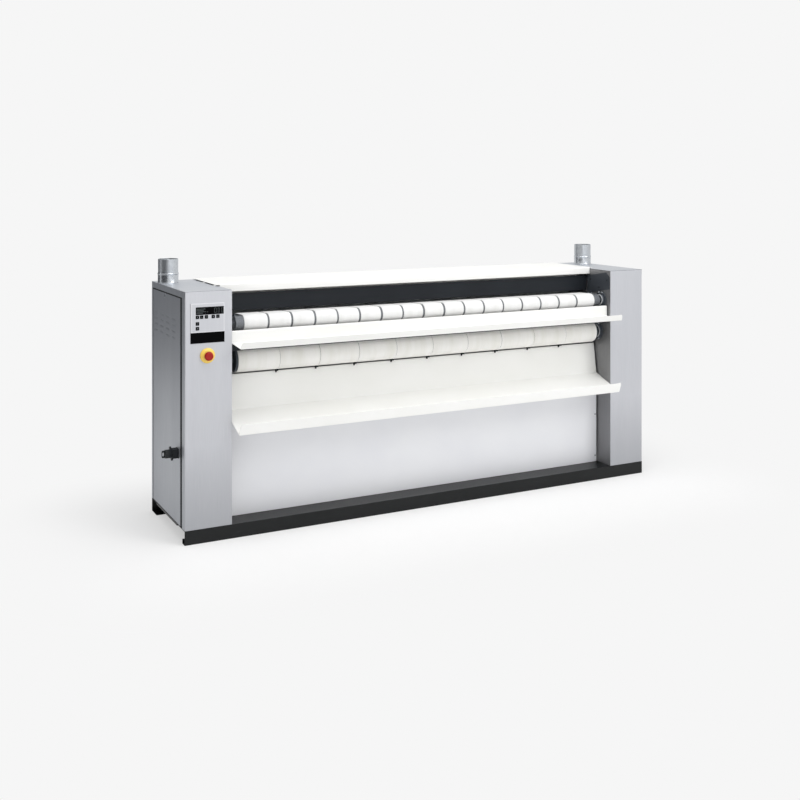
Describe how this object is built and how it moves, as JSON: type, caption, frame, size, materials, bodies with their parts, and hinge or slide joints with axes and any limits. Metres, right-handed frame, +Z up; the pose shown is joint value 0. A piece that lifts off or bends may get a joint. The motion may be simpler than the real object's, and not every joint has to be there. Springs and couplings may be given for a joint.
{
  "type": "flatwork ironer",
  "caption": "Wide flatwork ironer: steel cabinets with controls, flues, white hood, feed table with bands, heated cylinder, ironing bands, exit roller and linen tray.",
  "frame": {"origin": "middle of the overall box at floor level; the isolator's grip makes the box a little longer on the left than the cabinets", "axes": "+X to the operator's right along the machine, +Y from the operator to the rear, +Z up"},
  "size_m": [2.7326, 0.712, 1.278],
  "materials": {
    "brushed_steel": "vertical brushed grain, satin",
    "side_steel": "satin, darker",
    "white_enamel": "smooth satin enamel",
    "black_enamel": "semi-gloss enamel",
    "dark_enamel": "satin enamel",
    "galvanised_steel": "zinc spangle",
    "polished_steel": "polished",
    "roller_steel": "dark, knurled at the ends",
    "cast_metal": "painted casting",
    "chain_steel": "oiled",
    "band_cloth": "woven heat-proof webbing",
    "black_gloss": "gloss",
    "black_plastic": "moulded, matt",
    "yellow_plastic": "moulded",
    "red_plastic": "moulded"
  },
  "bodies": {
    "machine": {"front_cover_left": "brushed_steel", "front_cover_right": "brushed_steel", "top_cover_left": "brushed_steel", "top_cover_right": "brushed_steel", "control_plate": "brushed_steel", "side_panel_left": "side_steel", "side_panel_right": "side_steel", "rear_cover_left": "side_steel", "rear_cover_right": "side_steel", "inner_plate_left": "side_steel", "inner_plate_right": "side_steel", "hood": "white_enamel", "rear_panel": "white_enamel", "lower_front_panel": "white_enamel", "feed_table": "white_enamel", "exit_tray": "white_enamel", "base_channel_front": "black_enamel", "base_channel_rear": "black_enamel", "base_rail_left": "black_enamel", "base_rail_right": "black_enamel", "side_frame_left": "black_enamel", "side_frame_right": "black_enamel", "flue_left": "galvanised_steel", "flue_right": "galvanised_steel", "fan_housing_left": "galvanised_steel", "fan_housing_right": "galvanised_steel", "electrical_box": "galvanised_steel", "heater_bank": "polished_steel", "cylinder_bearing_left": "cast_metal", "cylinder_bearing_right": "cast_metal", "gear_motor": "cast_metal", "drive_chain": "chain_steel", "feed_bands": "band_cloth", "ironing_bands": "band_cloth", "name_plate": "black_gloss", "display_window": "black_gloss", "isolator_body": "black_plastic", "stop_collar": "yellow_plastic"},
    "cylinder": {"heated_cylinder": "polished_steel", "cylinder_sprocket": "chain_steel"},
    "front_feed_roller": {"feed_roller_front": "roller_steel"},
    "rear_feed_roller": {"feed_roller_rear": "roller_steel"},
    "exit_roller": {"exit_roller": "roller_steel"},
    "top_return_roller": {"return_roller_top": "polished_steel"},
    "back_return_roller": {"return_roller_back": "polished_steel"},
    "low_return_roller": {"return_roller_low": "polished_steel"},
    "motor_sprocket": {"motor_sprocket": "chain_steel"},
    "fan_wheel_left": {"fan_impeller_left": "polished_steel"},
    "fan_wheel_right": {"fan_impeller_right": "polished_steel"},
    "finger_guard": {"finger_guard": "dark_enamel"},
    "stop_button": {"stop_button": "red_plastic"},
    "isolator_handle": {"isolator_handle": "black_plastic"},
    "key_1": {"key_1": "black_gloss"},
    "key_2": {"key_2": "black_gloss"},
    "key_3": {"key_3": "black_gloss"},
    "key_4": {"key_4": "black_gloss"},
    "key_5": {"key_5": "black_gloss"},
    "key_6": {"key_6": "black_gloss"},
    "key_7": {"key_7": "black_gloss"}
  },
  "joints": [
    {"name": "cylinder_spin", "type": "hinge", "parent": "machine", "child": "cylinder", "pos_m": [0.0363, 0.126, 0.9], "axis": [1, 0, 0], "continuous": true},
    {"name": "front_feed_spin", "type": "hinge", "parent": "machine", "child": "front_feed_roller", "pos_m": [0.0363, -0.152, 0.992], "axis": [1, 0, 0], "continuous": true},
    {"name": "rear_feed_spin", "type": "hinge", "parent": "machine", "child": "rear_feed_roller", "pos_m": [0.0363, -0.056, 1.003], "axis": [1, 0, 0], "continuous": true},
    {"name": "exit_spin", "type": "hinge", "parent": "machine", "child": "exit_roller", "pos_m": [0.0363, -0.119, 0.812], "axis": [1, 0, 0], "continuous": true},
    {"name": "top_return_spin", "type": "hinge", "parent": "machine", "child": "top_return_roller", "pos_m": [0.0363, 0.028, 1.106], "axis": [1, 0, 0], "continuous": true},
    {"name": "back_return_spin", "type": "hinge", "parent": "machine", "child": "back_return_roller", "pos_m": [0.0363, 0.3, 1.09], "axis": [1, 0, 0], "continuous": true},
    {"name": "low_return_spin", "type": "hinge", "parent": "machine", "child": "low_return_roller", "pos_m": [0.0363, 0.3, 0.722], "axis": [1, 0, 0], "continuous": true},
    {"name": "motor_spin", "type": "hinge", "parent": "machine", "child": "motor_sprocket", "pos_m": [0.0363, 0.126, 0.38], "axis": [1, 0, 0], "continuous": true},
    {"name": "fan_left_spin", "type": "hinge", "parent": "machine", "child": "fan_wheel_left", "pos_m": [0.0363, 0.2465, 1.0832], "axis": [1, 0, 0], "continuous": true},
    {"name": "fan_right_spin", "type": "hinge", "parent": "machine", "child": "fan_wheel_right", "pos_m": [0.0363, 0.2465, 1.0832], "axis": [1, 0, 0], "continuous": true},
    {"name": "guard_swing", "type": "hinge", "parent": "machine", "child": "finger_guard", "pos_m": [0.0363, -0.02, 1.115], "axis": [1, 0, 0], "range_deg": [-25, 8]},
    {"name": "stop_press", "type": "slide", "parent": "machine", "child": "stop_button", "axis": [0, 1, 0], "range_m": [0, 0.005], "stiffness_N_per_m": 1500, "springref_m": -0.001},
    {"name": "isolator_turn", "type": "hinge", "parent": "machine", "child": "isolator_handle", "pos_m": [-1.342, -0.106, 0.397], "axis": [-1, 0, 0], "range_deg": [0, 90]},
    {"name": "key_1_press", "type": "slide", "parent": "machine", "child": "key_1", "axis": [0, 1, 0], "range_m": [0, 0.0005], "stiffness_N_per_m": 800, "springref_m": -0.0002},
    {"name": "key_2_press", "type": "slide", "parent": "machine", "child": "key_2", "axis": [0, 1, 0], "range_m": [0, 0.0005], "stiffness_N_per_m": 800, "springref_m": -0.0002},
    {"name": "key_3_press", "type": "slide", "parent": "machine", "child": "key_3", "axis": [0, 1, 0], "range_m": [0, 0.0005], "stiffness_N_per_m": 800, "springref_m": -0.0002},
    {"name": "key_4_press", "type": "slide", "parent": "machine", "child": "key_4", "axis": [0, 1, 0], "range_m": [0, 0.0005], "stiffness_N_per_m": 800, "springref_m": -0.0002},
    {"name": "key_5_press", "type": "slide", "parent": "machine", "child": "key_5", "axis": [0, 1, 0], "range_m": [0, 0.0005], "stiffness_N_per_m": 800, "springref_m": -0.0002},
    {"name": "key_6_press", "type": "slide", "parent": "machine", "child": "key_6", "axis": [0, 1, 0], "range_m": [0, 0.0005], "stiffness_N_per_m": 800, "springref_m": -0.0002},
    {"name": "key_7_press", "type": "slide", "parent": "machine", "child": "key_7", "axis": [0, 1, 0], "range_m": [0, 0.0005], "stiffness_N_per_m": 800, "springref_m": -0.0002}
  ],
  "couplings": [
    {"joint": "front_feed_spin", "follows": "cylinder_spin", "ratio": 4.4728},
    {"joint": "rear_feed_spin", "follows": "cylinder_spin", "ratio": 7.5505},
    {"joint": "exit_spin", "follows": "cylinder_spin", "ratio": -2.8137},
    {"joint": "top_return_spin", "follows": "cylinder_spin", "ratio": -8.189},
    {"joint": "back_return_spin", "follows": "cylinder_spin", "ratio": -5.6564},
    {"joint": "low_return_spin", "follows": "cylinder_spin", "ratio": -5.6564},
    {"joint": "motor_spin", "follows": "cylinder_spin", "ratio": 3.2727}
  ]
}
